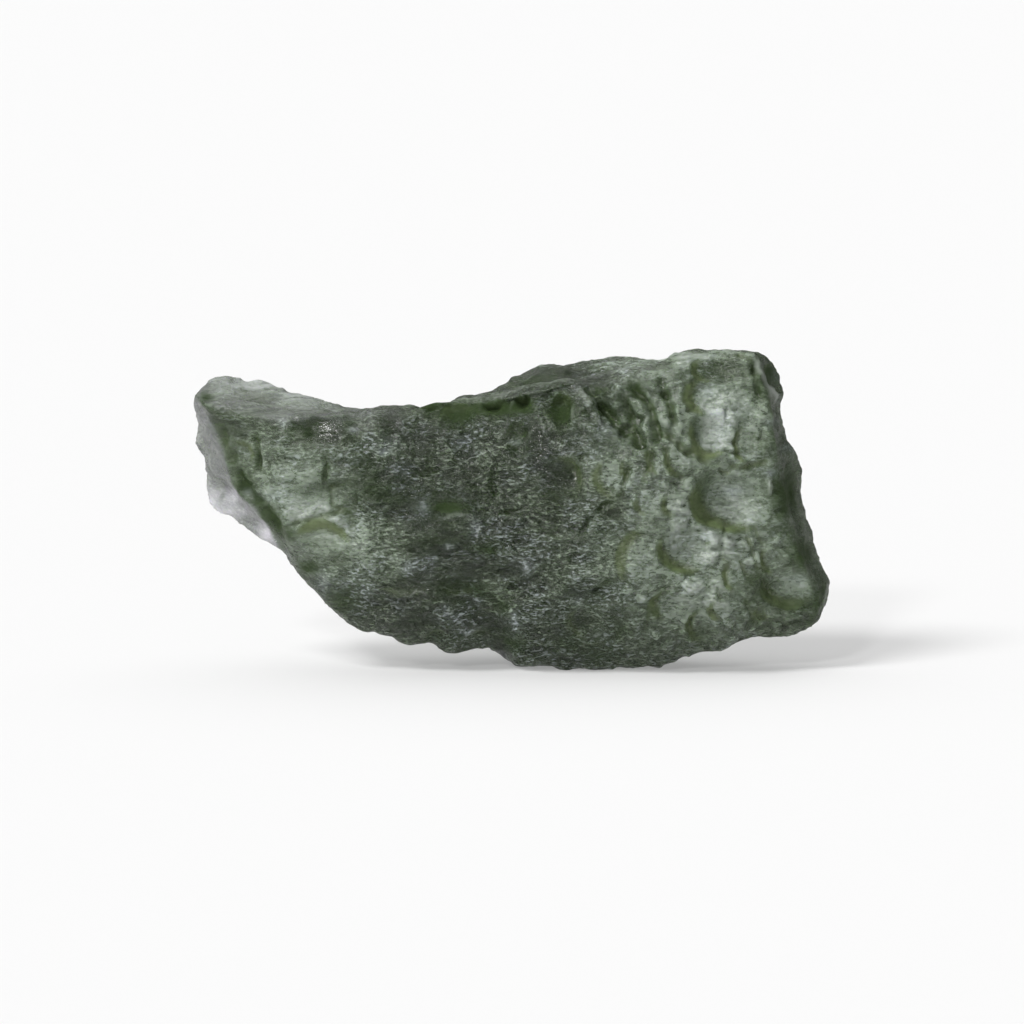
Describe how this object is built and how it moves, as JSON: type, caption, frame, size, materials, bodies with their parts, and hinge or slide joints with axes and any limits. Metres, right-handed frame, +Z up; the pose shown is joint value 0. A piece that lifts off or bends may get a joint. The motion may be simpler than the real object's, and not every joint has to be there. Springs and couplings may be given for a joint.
{
  "type": "moldavite",
  "caption": "Raw piece of green natural glass: a pitted, etched slab with a thin pale end, standing on a small flat spot on its lower edge.",
  "frame": {"origin": "middle of the stone's base, on the surface it rests on", "axes": "+X along the stone from its thin pale end to its blunt end, +Y through its thickness from the pitted face to the back, +Z up"},
  "size_m": [0.03, 0.0098, 0.0151],
  "materials": {
    "moldavite_glass": "translucent bottle-green natural glass with a glossy, finely etched and pitted skin"
  },
  "bodies": {
    "root": {"moldavite": "moldavite_glass"}
  },
  "joints": []
}
